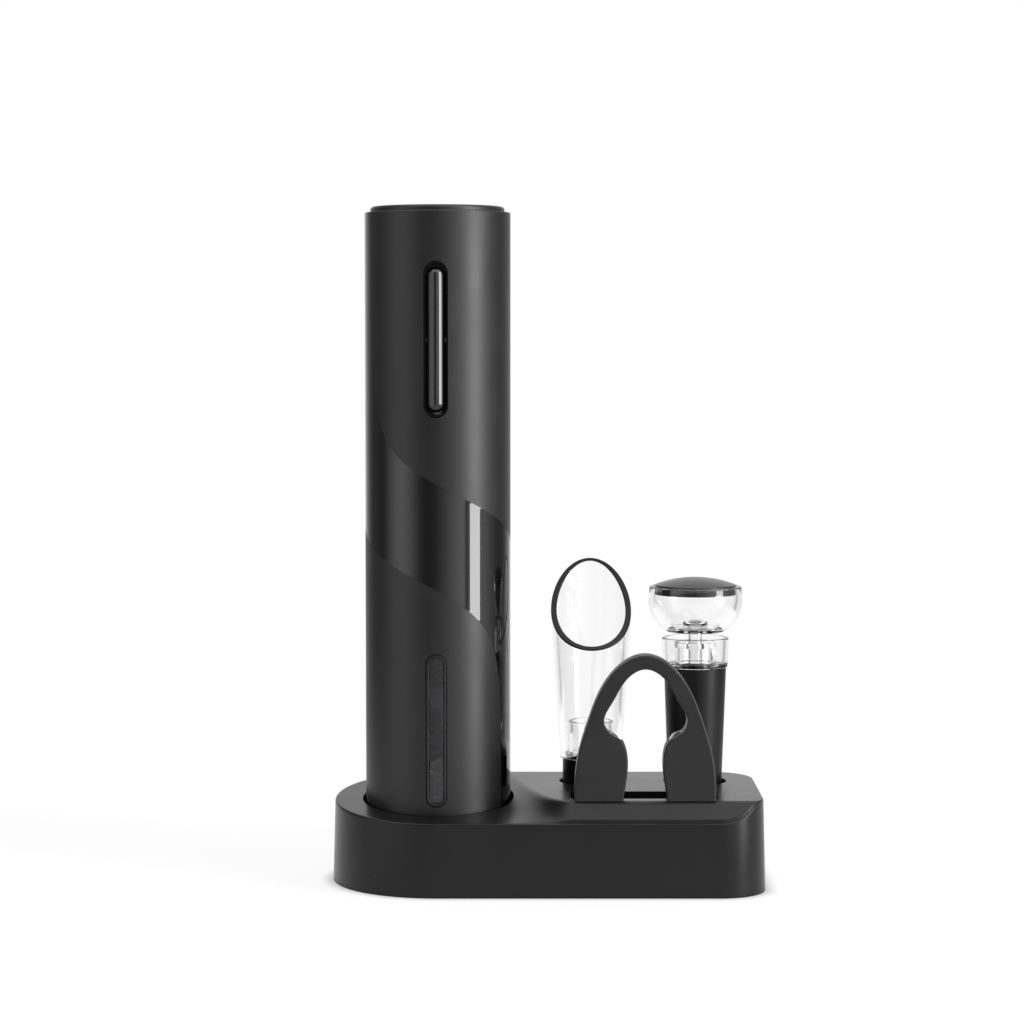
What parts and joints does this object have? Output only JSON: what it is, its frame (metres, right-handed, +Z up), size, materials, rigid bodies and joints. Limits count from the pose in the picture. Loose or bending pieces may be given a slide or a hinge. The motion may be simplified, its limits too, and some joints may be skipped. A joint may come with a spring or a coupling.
{
  "type": "electric wine opener",
  "caption": "Black cylindrical electric wine opener in a D-shaped stand with an arch foil cutter, a clear wine pourer and a vacuum pump stopper.",
  "frame": {"origin": "middle of the stand's footprint, on the table", "axes": "+Z up along the opener, +X from the opener to the accessories, +Y to the back, front at -Y"},
  "size_m": [0.148, 0.0728, 0.232],
  "materials": {
    "base_black": "satin moulded ABS",
    "sleeve_black": "soft matt paint on ABS",
    "gloss_black": "piano-black gloss",
    "trim_black": "fine satin",
    "clear_acrylic": "clear polished moulding",
    "smoke_clear": "smoked clear moulding",
    "black_rubber": "matt silicone",
    "cap_grey": "satin dark grey",
    "steel": "turned steel",
    "bronze": "sintered bronze",
    "gear_white": "moulded acetal",
    "frame_grey": "moulded ABS",
    "cell_wrap": "shrink-wrapped cell",
    "board_green": "solder mask"
  },
  "bodies": {
    "base": {"base_shell": "base_black", "base_plate": "base_black", "base_feet": "black_rubber", "base_screws": "steel"},
    "opener": {"outer_sleeve": "sleeve_black", "gloss_ribbon": "gloss_black", "top_cap": "trim_black", "button_surround": "trim_black", "button_pin": "steel", "window_lens": "smoke_clear", "bottle_guide": "frame_grey", "gearbox_cover": "frame_grey", "output_bush": "bronze", "gearbox_screws": "steel", "ring_gear": "frame_grey", "motor_plate": "steel", "motor_can": "steel", "motor_screws": "steel", "chassis": "frame_grey", "battery_cells": "cell_wrap", "battery_contacts": "steel", "control_board": "board_green", "tact_switches": "trim_black", "charge_board": "board_green", "usb_socket": "steel"},
    "rocker": {"rocker_button": "gloss_black"},
    "worm": {"worm_screw": "steel", "output_carrier": "steel"},
    "first_stage": {"first_carrier": "steel"},
    "rotor": {"motor_rotor": "steel"},
    "foil_cutter": {"cutter_body": "trim_black", "cutter_pins": "steel"},
    "left_wheel": {"cutter_wheel_left": "steel"},
    "right_wheel": {"cutter_wheel_right": "steel"},
    "pourer": {"pourer_plug": "black_rubber", "pourer_tube": "clear_acrylic", "pourer_spout": "clear_acrylic", "pourer_rim": "gloss_black"},
    "stopper": {"stopper_sleeve": "black_rubber", "stopper_barrel": "clear_acrylic", "stopper_valve": "black_rubber"},
    "pump": {"pump_rod": "clear_acrylic", "pump_seal": "black_rubber", "pump_head": "clear_acrylic", "pump_cap": "cap_grey"},
    "low_planet_1": {"low_planet_1": "gear_white"},
    "low_planet_2": {"low_planet_2": "gear_white"},
    "low_planet_3": {"low_planet_3": "gear_white"},
    "high_planet_1": {"high_planet_1": "gear_white"},
    "high_planet_2": {"high_planet_2": "gear_white"},
    "high_planet_3": {"high_planet_3": "gear_white"}
  },
  "joints": [
    {"name": "opener_lift", "type": "slide", "parent": "base", "child": "opener", "axis": [0, 0, 1], "range_m": [0, 0.03]},
    {"name": "cutter_lift", "type": "slide", "parent": "base", "child": "foil_cutter", "axis": [0, 0, 1], "range_m": [0, 0.015]},
    {"name": "pourer_lift", "type": "slide", "parent": "base", "child": "pourer", "axis": [0, 0, 1], "range_m": [0, 0.025]},
    {"name": "stopper_lift", "type": "slide", "parent": "base", "child": "stopper", "axis": [0, 0, 1], "range_m": [0, 0.027]},
    {"name": "pump_stroke", "type": "slide", "parent": "stopper", "child": "pump", "axis": [0, 0, 1], "range_m": [0, 0.02]},
    {"name": "rocker_tilt", "type": "hinge", "parent": "opener", "child": "rocker", "pos_m": [-0.03765, -0.0215, 0.1867], "axis": [1, 0, 0], "range_deg": [-1.5, 1.5], "stiffness_Nm_per_rad": 0.05},
    {"name": "worm_spin", "type": "hinge", "parent": "opener", "child": "worm", "pos_m": [-0.03765, 0, 0.1], "axis": [0, 0, 1], "continuous": true},
    {"name": "first_stage_spin", "type": "hinge", "parent": "opener", "child": "first_stage", "pos_m": [-0.03765, 0, 0.125], "axis": [0, 0, 1], "continuous": true},
    {"name": "rotor_spin", "type": "hinge", "parent": "opener", "child": "rotor", "pos_m": [-0.03765, 0, 0.135], "axis": [0, 0, 1], "continuous": true},
    {"name": "left_wheel_spin", "type": "hinge", "parent": "foil_cutter", "child": "left_wheel", "pos_m": [0.02091, -0.02495, 0.05109], "axis": [0, 1, 0], "continuous": true},
    {"name": "right_wheel_spin", "type": "hinge", "parent": "foil_cutter", "child": "right_wheel", "pos_m": [0.04479, -0.02495, 0.05109], "axis": [0, 1, 0], "continuous": true},
    {"name": "low_planet_1_spin", "type": "hinge", "parent": "worm", "child": "low_planet_1", "pos_m": [-0.02865, 0, 0.12], "axis": [0, 0, 1], "continuous": true},
    {"name": "low_planet_2_spin", "type": "hinge", "parent": "worm", "child": "low_planet_2", "pos_m": [-0.04215, 0.00779, 0.12], "axis": [0, 0, 1], "continuous": true},
    {"name": "low_planet_3_spin", "type": "hinge", "parent": "worm", "child": "low_planet_3", "pos_m": [-0.04215, -0.00779, 0.12], "axis": [0, 0, 1], "continuous": true},
    {"name": "high_planet_1_spin", "type": "hinge", "parent": "first_stage", "child": "high_planet_1", "pos_m": [-0.02865, 0, 0.13], "axis": [0, 0, 1], "continuous": true},
    {"name": "high_planet_2_spin", "type": "hinge", "parent": "first_stage", "child": "high_planet_2", "pos_m": [-0.04215, 0.00779, 0.13], "axis": [0, 0, 1], "continuous": true},
    {"name": "high_planet_3_spin", "type": "hinge", "parent": "first_stage", "child": "high_planet_3", "pos_m": [-0.04215, -0.00779, 0.13], "axis": [0, 0, 1], "continuous": true}
  ],
  "couplings": [
    {"joint": "first_stage_spin", "follows": "worm_spin", "ratio": 4},
    {"joint": "rotor_spin", "follows": "worm_spin", "ratio": 16},
    {"joint": "low_planet_1_spin", "follows": "worm_spin", "ratio": -3},
    {"joint": "low_planet_2_spin", "follows": "worm_spin", "ratio": -3},
    {"joint": "low_planet_3_spin", "follows": "worm_spin", "ratio": -3},
    {"joint": "high_planet_1_spin", "follows": "worm_spin", "ratio": -12},
    {"joint": "high_planet_2_spin", "follows": "worm_spin", "ratio": -12},
    {"joint": "high_planet_3_spin", "follows": "worm_spin", "ratio": -12}
  ]
}
